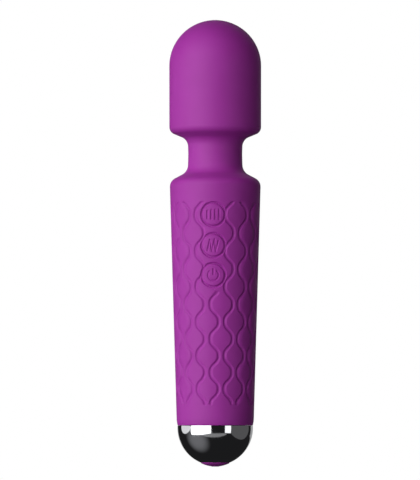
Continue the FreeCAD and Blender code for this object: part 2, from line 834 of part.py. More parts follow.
def wiring():
    """Paired leads: jack to board, battery to board, and board to motor through the hollow neck."""
    lead = 5.85
    board_edge = measured("board_bottom") - 0.5
    jack_top = measured("jack_bottom + bore_length") + 1.3
    over_bracket = measured("bracket_height") + 6
    jack_routes = []
    for start, side in ((-1.0, -4.6), (1.0, -6.4)):
        jack_routes.append(
            [
                (start, 0, jack_top),
                (start, 0, over_bracket),
                (side, -lead, over_bracket + 8),
                (side, -lead, board_edge),
            ]
        )
    keep("jack_leads", leads(jack_routes))
    cell_bottom = measured("battery_bottom")
    battery_routes = [
        [
            (2.0, 2.0, cell_bottom - 0.4),
            (2.0, 1.0, cell_bottom - 5),
            (4.6, -lead + 1, cell_bottom - 5),
            (4.6, -lead, cell_bottom + 1),
            (4.6, -lead, board_edge),
        ],
        [
            (6.6, -lead, board_edge),
            (6.6, -lead, board_edge - 6),
            (7.6, -lead, board_edge - 12),
            (7.6, -lead, board_edge - 16),
        ],
    ]
    keep("battery_leads", leads(battery_routes))
    board_top = measured("board_top")
    motor_routes = []
    for across in (-1.3, 1.3):
        motor_routes.append(
            [
                (across, -lead, board_top - 7),
                (across, -lead, board_top - 1.5),
                (across, 0, board_top + 4.5),
                (across, 0, measured("motor_bottom") - 3.4),
            ]
        )
    keep("motor_leads", leads(motor_routes))


end_cap()
port_seal()
charging_jack()
jack_bracket()
silicone = grip_blank()
grip_sleeve(silicone)
handle_shells()
battery()
circuit_board()
for button_name, button_height in BUTTON_HEIGHTS.items():
    button(button_name, button_height, silicone)
spring_seats()
neck_spring()
neck_sleeve()
head_cover()
head_shells()
motor_case()
motor_rotor()
wiring()

document.recompute()
for thing in document.Objects:
    if "Invalid" in thing.State or "Error" in thing.State:
        raise SystemExit(f"{thing.Label} failed: {thing.State}")
os.makedirs("parts", exist_ok=True)
for thing in subparts:
    shape = thing.Shape
    if shape.isNull() or not shape.isValid():
        raise SystemExit(f"{thing.Label} has no valid shape")
    shape.exportStep(f"parts/{thing.Label}.step")
    print(f"{thing.Label:22s} solids {len(shape.Solids)}  volume {shape.Volume:9.1f} mm3")
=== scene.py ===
"""Cordless silicone wand massager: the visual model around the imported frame. Lengths are in metres."""

import json
import math

import bpy
import numpy as np
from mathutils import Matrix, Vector


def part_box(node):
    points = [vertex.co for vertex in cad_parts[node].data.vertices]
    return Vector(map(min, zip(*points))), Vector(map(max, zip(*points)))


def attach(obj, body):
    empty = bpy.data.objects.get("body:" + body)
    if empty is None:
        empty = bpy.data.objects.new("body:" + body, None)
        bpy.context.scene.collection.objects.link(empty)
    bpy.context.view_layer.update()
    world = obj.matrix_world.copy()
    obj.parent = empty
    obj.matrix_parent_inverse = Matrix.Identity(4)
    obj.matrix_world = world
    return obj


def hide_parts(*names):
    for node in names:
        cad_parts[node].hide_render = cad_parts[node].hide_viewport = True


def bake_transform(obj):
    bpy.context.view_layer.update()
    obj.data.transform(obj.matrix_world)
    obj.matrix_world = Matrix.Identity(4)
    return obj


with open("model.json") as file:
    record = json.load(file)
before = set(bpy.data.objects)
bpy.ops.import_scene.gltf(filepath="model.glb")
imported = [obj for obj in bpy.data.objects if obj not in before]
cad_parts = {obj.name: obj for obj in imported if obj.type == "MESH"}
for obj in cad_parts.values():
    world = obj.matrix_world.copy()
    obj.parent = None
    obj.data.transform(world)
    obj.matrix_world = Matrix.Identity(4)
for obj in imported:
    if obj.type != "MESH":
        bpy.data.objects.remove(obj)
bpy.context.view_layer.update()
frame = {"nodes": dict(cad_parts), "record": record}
MM = 0.001


# ------------------------------------------------------------------ camera
# A long lens a couple of metres away, about level with the chrome cap, so that the wand is drawn almost
# without perspective. It stands a few degrees round from the buttons.

BASE_TIP = 0.0
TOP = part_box("head_cover")[1][2]
CAMERA_AZIMUTH = 2.6
CAMERA_DISTANCE = 2.3
CAMERA_HEIGHT = 19 * MM
VIEW_HEIGHT = 220.1 * MM
AIM_ABOVE_MIDDLE = 1.4 * MM
AIM_ASIDE = -2.4 * MM
SENSOR = 36.0


def bearing(azimuth):
    """Unit vector, level with the floor, from the wand towards an azimuth: 0 is -Y and 90 is +X."""
    turn = math.radians(azimuth)
    return Vector((math.sin(turn), -math.cos(turn), 0.0))


camera_data = bpy.data.cameras.new("camera")
camera_data.lens = SENSOR * CAMERA_DISTANCE / VIEW_HEIGHT
camera_data.sensor_width = SENSOR
camera = bpy.data.objects.new("camera", camera_data)
bpy.context.scene.collection.objects.link(camera)
aside = bearing(CAMERA_AZIMUTH + 90) * AIM_ASIDE
aim = Vector((0, 0, (TOP - BASE_TIP) / 2 + AIM_ABOVE_MIDDLE)) + aside
camera.location = bearing(CAMERA_AZIMUTH) * CAMERA_DISTANCE + aside + Vector((0, 0, CAMERA_HEIGHT))
camera.rotation_euler = (aim - camera.location).to_track_quat("-Z", "Y").to_euler()
bpy.context.scene.camera = camera


# ------------------------------------------------------------------ studio
# A white floor in a white room, both seen by the eye only: the chrome cap mirrors a dark studio and its
# lamps, which are a wide softbox front left, a narrow strip front right, panels left, right and behind, and
# a card low in front. The studio itself glows a little from low on the left, off the floor.

FLOOR_HALF = 3.0
FLOOR_SINK = 0.3 * MM
ROOM_RADIUS = 6.0
LAMP_DISTANCE = 1.2
GLOW_AZIMUTH = CAMERA_AZIMUTH - 68
GLOW_ELEVATION = -31
GLOW_EDGE = 0.74
STUDIO_DIM = 0.025
STUDIO_GLOW = 0.32


def srgb(code):
    """Linear colour with alpha 1 from an sRGB hex code."""
    parts = [int(code[at : at + 2], 16) / 255 for at in (1, 3, 5)]
    linear = [part / 12.92 if part <= 0.04045 else ((part + 0.055) / 1.055) ** 2.4 for part in parts]
    return (*linear, 1.0)


def add_node(tree, kind, sockets=None, **settings):
    """Adds one node, sets its properties, and fills or links its input sockets."""
    node = tree.nodes.new(kind)
    for name, value in settings.items():
        setattr(node, name, value)
    for name, value in (sockets or {}).items():
        if isinstance(value, bpy.types.NodeSocket):
            tree.links.new(value, node.inputs[name])
        else:
            node.inputs[name].default_value = value
    return node


def new_material(name):
    """An empty node material: its tree and its output node."""
    material = bpy.data.materials.new(name)
    material.use_nodes = True
    material.node_tree.nodes.clear()
    output = add_node(material.node_tree, "ShaderNodeOutputMaterial")
    return material, material.node_tree, output


def mesh_piece(name, points, faces, material):
    """A smooth-shaded mesh object from an array of points and a list of arrays of faces."""
    mesh = bpy.data.meshes.new(name)
    mesh.from_pydata(points.tolist(), [], [face for block in faces for face in block.tolist()])
    mesh.materials.append(material)
    mesh.shade_smooth()
    mesh.update()
    piece = bpy.data.objects.new(name, mesh)
    bpy.context.scene.collection.objects.link(piece)
    return piece


def glow(name, colour, strength):
    """A surface that shines evenly."""
    material, tree, output = new_material(name)
    shine = add_node(tree, "ShaderNodeEmission", {"Color": srgb(colour), "Strength": strength})
    tree.links.new(shine.outputs[0], output.inputs["Surface"])
    return material


def only_seen(piece):
    """Keeps a stage piece out of reflections, bounced light and shadows."""
    piece.visible_diffuse = False
    piece.visible_glossy = False
    piece.visible_transmission = False
    piece.visible_shadow = False


corners = np.array([[-1, -1, 0], [1, -1, 0], [1, 1, 0], [-1, 1, 0]]) * FLOOR_HALF - [0, 0, FLOOR_SINK]
floor = mesh_piece("floor", corners, [np.array([[0, 1, 2, 3]])], glow("white_paper", "#FFFFFF", 1.0))
only_seen(floor)
bpy.ops.mesh.primitive_uv_sphere_add(segments=32, ring_count=16, radius=ROOM_RADIUS)
room = bpy.context.object
room.name = "room"
room.data.materials.append(glow("white_room", "#FFFFFF", 1.0))
only_seen(room)

world = bpy.data.worlds.new("studio")
bpy.context.scene.world = world
world.use_nodes = True
background = world.node_tree.nodes["Background"]
background.inputs["Color"].default_value = srgb("#C8C8CC")
direction = add_node(world.node_tree, "ShaderNodeTexCoord")
fall = math.radians(GLOW_ELEVATION)
towards_glow = bearing(GLOW_AZIMUTH) * math.cos(fall) + Vector((0, 0, math.sin(fall)))
facing = add_node(
    world.node_tree,
    "ShaderNodeVectorMath",
    {0: direction.outputs["Generated"], 1: towards_glow},
    operation="DOT_PRODUCT",
)
spread = add_node(
    world.node_tree,
    "ShaderNodeMapRange",
    {
        "Value": facing.outputs["Value"],
        "From Min": GLOW_EDGE,
        "From Max": 1.0,
        "To Min": STUDIO_DIM,
        "To Max": STUDIO_GLOW,
    },
    interpolation_type="SMOOTHSTEP",
)
world.node_tree.links.new(spread.outputs["Result"], background.inputs["Strength"])


def softbox(name, azimuths, elevations, radiance, shape="RECTANGLE"):
    """A flat upright lamp that covers a span of azimuths, counted from the camera's, and of elevations, as seen
    from the wand's axis at the camera's height. Its power is pi times radiance, width and height."""
    width = 2 * LAMP_DISTANCE * math.tan(math.radians(azimuths[1] - azimuths[0]) / 2)
    low, high = (LAMP_DISTANCE * math.tan(math.radians(elevation)) for elevation in elevations)
    lamp = bpy.data.lights.new(name, "AREA")
    lamp.shape = shape
    lamp.size = width
    lamp.size_y = high - low
    lamp.energy = radiance * math.pi * lamp.size * lamp.size_y
    holder = bpy.data.objects.new(name, lamp)
    bpy.context.scene.collection.objects.link(holder)
    outward = bearing(CAMERA_AZIMUTH + sum(azimuths) / 2)
    holder.location = outward * LAMP_DISTANCE + Vector((0, 0, CAMERA_HEIGHT + (low + high) / 2))
    holder.rotation_euler = (-outward).to_track_quat("-Z", "Y").to_euler()


softbox("key_softbox", (-80, -13), (-19, 52), 2.65)
softbox("left_panel", (-126, -81), (-11, 13), 0.72, "ELLIPSE")
softbox("strip_softbox", (30, 49), (-15, 20), 1.45)
softbox("low_card", (-46, 36), (-29, -17), 0.2, "ELLIPSE")
softbox("right_panel", (42, 124), (-26, 26), 0.075, "ELLIPSE")
softbox("back_panel", (140, 200), (-10, 50), 0.4)
bpy.context.scene.view_settings.view_transform = "Standard"


# ------------------------------------------------------------------ handle skin
# One moulding of soft matt silicone from the chrome cap to the middle of the neck. Its mould leaves
# eighteen wavy grooves, mirrored in pairs so that they draw onion shapes, and a round groove about each of
# the three buttons.

SKIN_THICK = 2.0 * MM
SKIN_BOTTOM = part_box("grip_sleeve")[0][2]
TAPER = ((17.62 * MM, SKIN_BOTTOM), (20.9 * MM, 130.9 * MM))
SHOULDER_ROUND = 4.3 * MM
NECK_FOOT = (12.6 * MM, 135.3 * MM)
NECK_FOOT_ROUND = 5.2 * MM
NECK_WAIST = (12.38 * MM, 143.4 * MM)
EDGE_ROUND = 0.5 * MM
FOOT_INSET = 0.32 * MM
FOOT_SWELL = 0.06 * MM
FOOT_HEIGHT = 21.2 * MM
FOOT_ROUND = 7 * MM
# a ring this near an end keeps the end's shading apart from the lip inside it
CRISP = 0.02 * MM
LOWER_BEND = ("handle", "neck", (0, 0, 134.8 * MM), (0, 0, 143.2 * MM))

BUTTON_HEIGHTS = {
    name: sum(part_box(f"{name}_pad")[side][2] for side in (0, 1)) / 2
    for name in ("power", "pattern", "intensity")
}
HOLE_RADIUS = 5.35 * MM
RING_OUTER = 6.15 * MM
RING_DEPTH = 0.6 * MM
PATCH_RADIUS = 6.4 * MM
PATCH_RINGS = 12
EVENING_PASSES = 12
SKIRT_LENGTH = 1.1 * MM

WAVE_LINES = 18
WAVE_OFFSET = math.radians(1.5)
WAVE_SWING = math.radians(6.4)
WAVE_SQUARENESS = 0.07
WAVE_PERIOD_PER_RADIUS = 0.8245
WAVE_START = 114.8 * MM
WAVE_TOP = 121.0 * MM
WAVE_BOTTOM = 28.0 * MM
WAVE_END = 0.8 * MM
WAVE_HALF_WIDTH = 0.98 * MM
WAVE_DEPTH = 0.5 * MM
MIDDLE_LINE_TOP = 80.0 * MM
GROOVE_FLAT = 0.2
LEAN_STEP = 0.05 * MM
EDGE_SPACING = 0.5 * MM
PROFILE_SPACING = 0.7 * MM

# rows of points: where each stretch starts and how far apart its rows lie
ROW_STRETCHES = (
    (22.5 * MM, 0.9 * MM),
    (27.6 * MM, 0.3 * MM),
    (30 * MM, 0.6 * MM),
    (80 * MM, 0.28 * MM),
    (122.5 * MM, 0.8 * MM),
)
ROWS_TOP = 127 * MM
# columns of points: a bundle on every line and steps between bundles; they follow a share of the waves' swing
BUNDLE_COLUMNS = 9
BUNDLE_HALF_WIDTH = 0.95 * MM
BUTTON_LINES = (0, 1, WAVE_LINES - 1, WAVE_LINES)
BUTTON_STEPS = {0: 25, 1: 22}
PLAIN_STEPS = 4
STRAIGHT_FROM = 77 * MM
STRAIGHT_BLEND = 4 * MM
SWAY_HEIGHTS = (20 * MM, WAVE_BOTTOM, WAVE_TOP, ROWS_TOP)
SWAY_SHARES = (0.3, 1, 1, 0.6)


def smooth_step(value):
    """Rises from 0 to 1 along 3v^2 - 2v^3 as the value goes from 0 to 1."""
    value = np.clip(value, 0, 1)
    return value * value * (3 - 2 * value)


def straight_run(start, end, spacing):
    """Points from one end of a straight run to the other, at most about one spacing apart."""
    return np.linspace(start, end, max(2, int(np.linalg.norm(end - start) / spacing) + 1))


def rounded_path(corners, rounds, spacing):
    """Points along straight runs whose corners are replaced by tangent arcs: each arc's tangent length is
    its radius times the tangent of half the turn. Points on the runs lie about one spacing apart, on the
    arcs nearer."""
    corners = [np.array(corner, float) for corner in corners]
    stretches = []
    start = corners[0]
    for before, corner, after, radius in zip(corners, corners[1:], corners[2:], rounds):
        way_in = (corner - before) / np.linalg.norm(corner - before)
        way_out = (after - corner) / np.linalg.norm(after - corner)
        cross = way_in[0] * way_out[1] - way_in[1] * way_out[0]
        turn = math.atan2(cross, way_in @ way_out)
        tangent = radius * math.tan(abs(turn) / 2)
        entry = corner - way_in * tangent
        side = np.array([-way_in[1], way_in[0]]) * np.sign(turn)
        centre = entry + side * radius
        stretches.append(straight_run(start, entry, spacing))
        swept = np.linspace(0, turn, max(5, int(radius * abs(turn) / (spacing * 0.6)) + 2))[1:-1, None]
        arm = entry - centre
        stretches.append(centre + arm * np.cos(swept) + np.array([-arm[1], arm[0]]) * np.sin(swept))
        start = corner + way_out * tangent
    stretches.append(straight_run(start, corners[-1], spacing))
    return np.vstack(stretches)


taper_slope = (TAPER[1][0] - TAPER[0][0]) / (TAPER[1][1] - TAPER[0][1])


def taper_radius(height):
    """Outer radius of the plain tapered part at a height."""
    return TAPER[0][0] + taper_slope * (height - TAPER[0][1])


def wave_phase(height):
    """Phase of the waves, whose period is a fixed share of the local radius: the integral of that share."""
    span = np.log(taper_radius(height) / taper_radius(WAVE_START))
    return 2 * math.pi * span / (WAVE_PERIOD_PER_RADIUS * taper_slope)


def line_angle(number, height):
    """Angle of a wavy line at a height: its own even place, plus a cosine of the phase with a little of its
    third harmonic taken off, to the right on even lines and to the left on odd ones."""
    phase = wave_phase(height)
    swing = WAVE_SWING * (np.cos(phase) - WAVE_SQUARENESS * np.cos(3 * phase))
    return WAVE_OFFSET + number * 2 * math.pi / WAVE_LINES + swing * (1 if number % 2 == 0 else -1)


def valley(share):
    """Depth profile of a groove from 1 on its flat floor to 0 where the share of its half width reaches 1."""
    return 1 - smooth_step((share - GROOVE_FLAT) / (1 - GROOVE_FLAT))


def carved(angle, height):
    """Depth of the skin's grooves, the deepest at each point: of every wavy line, by the distance square to
    it, and of the three rings, by the distance from the button's own axis."""
    radius = taper_radius(height)
    deepest = np.zeros(angle.shape)
    for number in range(WAVE_LINES):
        top = MIDDLE_LINE_TOP if number == 0 else WAVE_TOP
        turn = (angle - line_angle(number, height) + math.pi) % (2 * math.pi) - math.pi
        swung = line_angle(number, height + LEAN_STEP) - line_angle(number, height - LEAN_STEP)
        lean = swung * radius / (2 * LEAN_STEP)
        gap = np.abs(turn) * radius / np.sqrt(1 + lean**2)
        ends = smooth_step((top - height) / WAVE_END) * smooth_step((height - WAVE_BOTTOM) / WAVE_END)
        deepest = np.maximum(deepest, WAVE_DEPTH * valley(gap / WAVE_HALF_WIDTH) * ends)
    for button in BUTTON_HEIGHTS.values():
        reach = np.where(np.cos(angle) > 0, np.hypot(radius * np.sin(angle), height - button), math.inf)
        ring = RING_DEPTH * valley((reach - HOLE_RADIUS) / (RING_OUTER - HOLE_RADIUS))
        deepest = np.maximum(deepest, ring)
    return deepest


def height_rows():
    """Heights of the rows of points on the taper: close together at the buttons and at the waves' ends."""
    edges = np.array([start for start, _ in ROW_STRETCHES] + [ROWS_TOP])
    steps = np.array([step for _, step in ROW_STRETCHES])
    counts = np.round(np.diff(edges) / steps).astype(int)
    stretches = zip(edges, edges[1:], counts)
    return np.concatenate([np.linspace(low, high, count, endpoint=False) for low, high, count in stretches])


def column_angles(heights):
    """Angle of every column at every height: a bundle of columns rides on each wavy line, and the others
    share the space between two lines evenly. Next to the buttons the columns run straight and lie closer
    together."""
    reach = np.linspace(-BUNDLE_HALF_WIDTH, BUNDLE_HALF_WIDTH, BUNDLE_COLUMNS)
    bundle = reach / taper_radius(heights)[:, None]
    half = BUNDLE_COLUMNS // 2
    below_buttons = 1 - smooth_step((heights - STRAIGHT_FROM) / STRAIGHT_BLEND)
    sway = np.interp(heights, SWAY_HEIGHTS, SWAY_SHARES)
    lines = []
    for number in range(WAVE_LINES + 1):
        place = WAVE_OFFSET + number * 2 * math.pi / WAVE_LINES
        damp = below_buttons if number in BUTTON_LINES else 1.0
        lines.append((place + (line_angle(number, heights) - place) * damp * sway)[:, None])
    columns = []
    for number in range(WAVE_LINES):
        near = lines[number] + bundle[:, half:]
        far = lines[number + 1] + bundle[:, :half]
        steps = BUTTON_STEPS.get(min(number, WAVE_LINES - 1 - number), PLAIN_STEPS)
        share = np.linspace(0, 1, steps + 1)[1:-1]
        columns.append(np.hstack([near, near[:, -1:] + (far[:, :1] - near[:, -1:]) * share, far]))
    return np.hstack(columns)


def ring_points(ring_radii, ring_heights, ring_angles):
    """Cartesian points of rings about Z; angle 0 points at -Y and grows towards +X."""
    x = ring_radii * np.sin(ring_angles)
    y = -ring_radii * np.cos(ring_angles)
    return np.stack([x, y, ring_heights], axis=-1).reshape(-1, 3)


def ring_quads(row_count, column_count):
    """Quads between neighbouring points of closed rings, with their faces outwards when rings go upwards."""
    index = np.arange(row_count * column_count).reshape(row_count, column_count)
    right = np.roll(index, -1, axis=1)
    return np.stack([index[:-1], right[:-1], right[1:], index[1:]], axis=-1)


def evened(turns):
    """Rising angles round a circle, moved towards the middle of their two neighbours a few times over."""
    for _ in range(EVENING_PASSES):
        before = np.concatenate([turns[-1:] - 2 * math.pi, turns[:-1]])
        after = np.concatenate([turns[1:], turns[:1] + 2 * math.pi])
        turns = turns / 2 + (before + after) / 4
    return turns


rows = height_rows()
angles = column_angles(rows)
heights = np.repeat(rows[:, None], angles.shape[1], axis=1)
dropped = np.zeros(angles.shape, bool)
rims = []
# Faces near a button are left out, and the points round the gap are where its round patch is joined on.
for button in BUTTON_HEIGHTS.values():
    across = taper_radius(heights) * np.sin(angles)
    inside = (np.hypot(across, heights - button) < PATCH_RADIUS) & (np.cos(angles) > 0)
    lost = inside | np.roll(inside, -1, axis=1)
    lost[:-1] |= lost[1:]
    touched = lost | np.roll(lost, 1, axis=1)
    touched[1:] |= touched[:-1].copy()
    rim = np.flatnonzero(touched & ~inside)
    turns = np.arctan2(heights.flat[rim] - button, across.flat[rim])
    rim = rim[np.argsort(turns)]
    reaches = np.hypot(heights.flat[rim] - button, across.flat[rim])
    dropped |= lost
    rims.append((button, rim, np.sort(turns), reaches))
radii = taper_radius(heights) - carved(angles, heights)

lower_edge = rounded_path(
    [
        (TAPER[0][0] - SKIN_THICK, SKIN_BOTTOM),
        (TAPER[0][0] - FOOT_INSET, SKIN_BOTTOM),
        (TAPER[0][0] + FOOT_SWELL, FOOT_HEIGHT),
        (taper_radius(rows[0]), rows[0]),
    ],
    [EDGE_ROUND, FOOT_ROUND],
    EDGE_SPACING,
)[:-1]
shoulder = rounded_path(
    [(taper_radius(ROWS_TOP), ROWS_TOP), TAPER[1], NECK_FOOT, NECK_WAIST],
    [SHOULDER_ROUND, NECK_FOOT_ROUND],
    PROFILE_SPACING,
)
seam = [(NECK_WAIST[0], NECK_WAIST[1] - CRISP), NECK_WAIST, (NECK_WAIST[0] - SKIN_THICK, NECK_WAIST[1])]
upper_edge = np.vstack([shoulder[:-1], seam])


def extend(profile, row_angles):
    """Radii, heights and angles of plain rings on a profile that continue the columns of a row."""
    wide = np.ones((1, row_angles.size))
    return profile[:, :1] * wide, profile[:, 1:] * wide, np.repeat(row_angles[None], len(profile), axis=0)


below = extend(lower_edge, angles[0])
above = extend(upper_edge, angles[-1])
all_radii = np.vstack([below[0], radii, above[0]])
all_heights = np.vstack([below[1], heights, above[1]])
all_angles = np.vstack([below[2], angles, above[2]])

points = ring_points(all_radii, all_heights, all_angles)
quads = ring_quads(*all_radii.shape)
first = len(lower_edge)
kept = np.ones(quads.shape[:2], bool)
kept[first : first + len(rows) - 1] = ~dropped[:-1]
skin_faces = [quads[kept]]
for button, rim, turns, reaches in rims:
    share = np.linspace(0, 1, PATCH_RINGS)[1:, None]
    reach = reaches + share * (HOLE_RADIUS - reaches)
    turn = turns + share * (evened(turns) - turns)
    height = button + reach * np.sin(turn)
    across = reach * np.cos(turn)
    radius = taper_radius(height) - carved(np.arcsin(across / taper_radius(height)), height)
    patch = np.stack([across, -np.sqrt(radius**2 - across**2), height], axis=-1)
    patch = np.concatenate([patch, patch[-1:] + [0, SKIRT_LENGTH, 0]])
    index = len(points) + np.arange(patch[..., 0].size).reshape(patch.shape[:2])
    index = np.vstack([first * all_radii.shape[1] + rim, index])
    after = np.roll(index, -1, axis=1)
    skin_faces.append(np.stack([index[:-1], after[:-1], after[1:], index[1:]], axis=-1).reshape(-1, 4))
    points = np.vstack([points, patch.reshape(-1, 3)])


def silicone():
    """Liquid silicone rubber from a blasted mould: an even purple with a soft sheen, a faint cloudiness and a
    fine matt grain. The grain is 0.05 mm on the real skin and is drawn at 0.4 mm so that it can be seen."""
    material, tree, output = new_material("purple_silicone")
    place = add_node(tree, "ShaderNodeTexCoord")
    cloud = add_node(
        tree,
        "ShaderNodeTexNoise",
        {"Vector": place.outputs["Object"], "Scale": 1 / (18 * MM), "Detail": 2.0},
    )
    tint = add_node(tree, "ShaderNodeValToRGB", {"Fac": cloud.outputs["Fac"]})
    tint.color_ramp.elements[0].position = 0.3
    tint.color_ramp.elements[0].color = srgb("#9F2E9C")
    tint.color_ramp.elements[1].position = 0.7
    tint.color_ramp.elements[1].color = srgb("#A432A2")
    grain = add_node(
        tree,
        "ShaderNodeTexNoise",
        {"Vector": place.outputs["Object"], "Scale": 1 / (0.4 * MM), "Detail": 2.0},
    )
    sheen = add_node(
        tree,
        "ShaderNodeMapRange",
        {"Value": grain.outputs["Fac"], "To Min": 0.52, "To Max": 0.64},
    )
    bump = add_node(
        tree, "ShaderNodeBump", {"Height": grain.outputs["Fac"], "Strength": 0.1, "Distance": 0.02 * MM}
    )
    body = add_node(
        tree,
        "ShaderNodeBsdfPrincipled",
        {
            "Base Color": tint.outputs["Color"],
            "Roughness": sheen.outputs["Result"],
            "IOR": 1.41,
            "Specular IOR Level": 0.42,
            "Subsurface Weight": 0.12,
            "Subsurface Radius": (1.0, 0.35, 0.9),
            "Subsurface Scale": 1.2 * MM,
            "Normal": bump.outputs["Normal"],
        },
    )
    tree.links.new(body.outputs[0], output.inputs["Surface"])
    return material


SILICONE = silicone()
grip = mesh_piece("grip_skin", points, skin_faces, SILICONE)
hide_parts("grip_sleeve", "neck_sleeve")
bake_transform(grip)


# ------------------------------------------------------------------ head skin
# The same silicone from the middle of the neck to the crown: a concave foot, a rounded rim, a plain
# cylinder and a half-ball dome.

HEAD_RADIUS = (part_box("head_cover")[1][0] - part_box("head_cover")[0][0]) / 2
DOME_CENTRE = TOP - HEAD_RADIUS
HEAD_FOOT = (12.6 * MM, 150.0 * MM)
HEAD_FOOT_ROUND = 4.8 * MM
HEAD_RIM = (HEAD_RADIUS - 0.04 * MM, 153.5 * MM)
HEAD_RIM_ROUND = 3.4 * MM
HEAD_COLUMNS = 192
DOME_RINGS = 56
UPPER_BEND = ("neck", "head", (0, 0, 143.6 * MM), (0, 0, 151.6 * MM))

side_profile = rounded_path(
    [NECK_WAIST, HEAD_FOOT, HEAD_RIM, (HEAD_RADIUS, DOME_CENTRE)],
    [HEAD_FOOT_ROUND, HEAD_RIM_ROUND],
    PROFILE_SPACING,
)
rise = np.linspace(0, math.pi / 2, DOME_RINGS)[1:-1]
dome_profile = np.stack([HEAD_RADIUS * np.cos(rise), DOME_CENTRE + HEAD_RADIUS * np.sin(rise)], axis=1)
seam = [(NECK_WAIST[0] - SKIN_THICK, NECK_WAIST[1]), NECK_WAIST, (NECK_WAIST[0], NECK_WAIST[1] + CRISP)]
head_profile = np.vstack([seam, side_profile[1:], dome_profile])


def turned_piece(name, profile, columns, material, top=None):
    """A surface of revolution: every profile point (radius, height) becomes a ring of evenly spaced points.
    The last ring may be closed by a fan of triangles to a point on the axis at a height."""
    turns = np.linspace(0, 2 * math.pi, columns, endpoint=False)
    radii = np.repeat(profile[:, :1], columns, axis=1)
    levels = np.repeat(profile[:, 1:2], columns, axis=1)
    points = ring_points(radii, levels, np.repeat(turns[None], len(profile), axis=0))
    faces = [ring_quads(len(profile), columns).reshape(-1, 4)]
    if top is not None:
        points = np.vstack([points, [[0, 0, top]]])
        last = np.arange(columns) + (len(profile) - 1) * columns
        faces.append(np.stack([last, np.roll(last, -1), np.full(columns, len(points) - 1)], axis=1))
    return mesh_piece(name, points, faces, material)


head_skin = turned_piece("head_skin", head_profile, HEAD_COLUMNS, SILICONE, top=TOP)
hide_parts("head_cover")
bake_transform(head_skin)


# ------------------------------------------------------------------ button pads
# Three round pads of the same silicone, one over each switch, slightly crowned. A sign is sunk into each:
# four bars for strength, a zigzag for rhythm, and a ring with a stroke for on and off.

PAD_EDGE = HOLE_RADIUS - 0.05 * MM
PAD_FLAT = 2 * HOLE_RADIUS - RING_OUTER
PAD_CROWN = 0.1 * MM
PAD_SKIRT = 0.9 * MM
PAD_COLUMNS = 240
FACE_RINGS = 42
SHOULDER_RINGS = 10
SIGN_DEPTH = 0.36 * MM
SIGN_HALF_WIDTH = 0.52 * MM

# the signs' strokes in millimetres from the pad's middle: across, then up
BARS_ASIDE = 2.7
BAR_HALF_LENGTHS = (1.7, 2.0, 2.25, 2.25)
ZIGZAG_TURNS = ((-2.6, -2.3), (-1.5, 2.5), (-0.6, -2.6), (0.7, 2.8), (1.2, -2.5), (2.4, 2.1))
SWITCH_STROKE = ((0, 0.4), (0, 2.9))
SWITCH_RADIUS = 2.45 * MM
SWITCH_OPENING = 0.62


def stroke_gap(x, z, start, end):
    """Distance from points to a straight stroke between two ends."""
    start = np.array(start) * MM
    run = np.array(end) * MM - start
    share = np.clip(((x - start[0]) * run[0] + (z - start[1]) * run[1]) / (run @ run), 0, 1)
    return np.hypot(x - start[0] - share * run[0], z - start[1] - share * run[1])


def strokes(x, z, ends):
    """Distance from points to the nearest of several strokes."""
    return np.min([stroke_gap(x, z, start, end) for start, end in ends], axis=0)


def bars_sign(x, z):
    """Four upright bars; the first two are shorter."""
    places = np.linspace(-BARS_ASIDE, BARS_ASIDE, len(BAR_HALF_LENGTHS))
    return strokes(x, z, [((at, -half), (at, half)) for at, half in zip(places, BAR_HALF_LENGTHS)])


def zigzag_sign(x, z):
    """A slanting zigzag of five strokes."""
    return strokes(x, z, list(zip(ZIGZAG_TURNS, ZIGZAG_TURNS[1:])))


def switch_sign(x, z):
    """A ring that is open at the top, with an upright stroke in the opening."""
    turn = np.abs(np.arctan2(x, z))
    ring = np.where(turn > SWITCH_OPENING, np.abs(np.hypot(x, z) - SWITCH_RADIUS), math.inf)
    return np.minimum(ring, strokes(x, z, [SWITCH_STROKE]))


def button_pad(name, button, sign):
    """A pad on the taper, as rings about the button's own axis: a crowned face with its sign, a rounded
    shoulder down to the ring groove's floor, and a skirt that runs into the handle."""
    face = np.linspace(0, PAD_FLAT, FACE_RINGS)[1:]
    shoulder = np.linspace(PAD_FLAT, PAD_EDGE, SHOULDER_RINGS)[1:]
    reach = np.concatenate([face, shoulder, [PAD_EDGE]])[:, None]
    turn = np.linspace(0, 2 * math.pi, PAD_COLUMNS, endpoint=False)[None]
    x = reach * np.cos(turn)
    z = button + reach * np.sin(turn)
    crown = PAD_CROWN * np.maximum(1 - (reach / PAD_FLAT) ** 2, 0)
    sunk = RING_DEPTH * valley((HOLE_RADIUS - reach) / (HOLE_RADIUS - PAD_FLAT))
    drawn = SIGN_DEPTH * valley(sign(x, z - button) / SIGN_HALF_WIDTH)
    y = -np.sqrt((taper_radius(z) + crown - sunk - drawn) ** 2 - x**2)
    y[-1] += PAD_SKIRT
    middle = [[0, y[0].mean(), button]]
    points = np.vstack([np.stack([x, y, z], axis=-1).reshape(-1, 3), middle])
    quads = ring_quads(len(reach), turn.size)[..., ::-1].reshape(-1, 4)
    ring = np.arange(turn.size)
    fan = np.stack([ring, np.roll(ring, -1), np.full(turn.size, len(points) - 1)], axis=1)
    piece = mesh_piece(f"{name}_pad_skin", points, [quads, fan], SILICONE)
    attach(piece, f"{name}_button")
    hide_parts(f"{name}_pad")


for button, sign in (("intensity", bars_sign), ("pattern", zigzag_sign), ("power", switch_sign)):
    button_pad(button, BUTTON_HEIGHTS[button], sign)


# ------------------------------------------------------------------ chrome end cap
# A bowl of ABS, copper and nickel plated and then chromed to a mirror. It closes the handle and is pierced
# for the charging port.

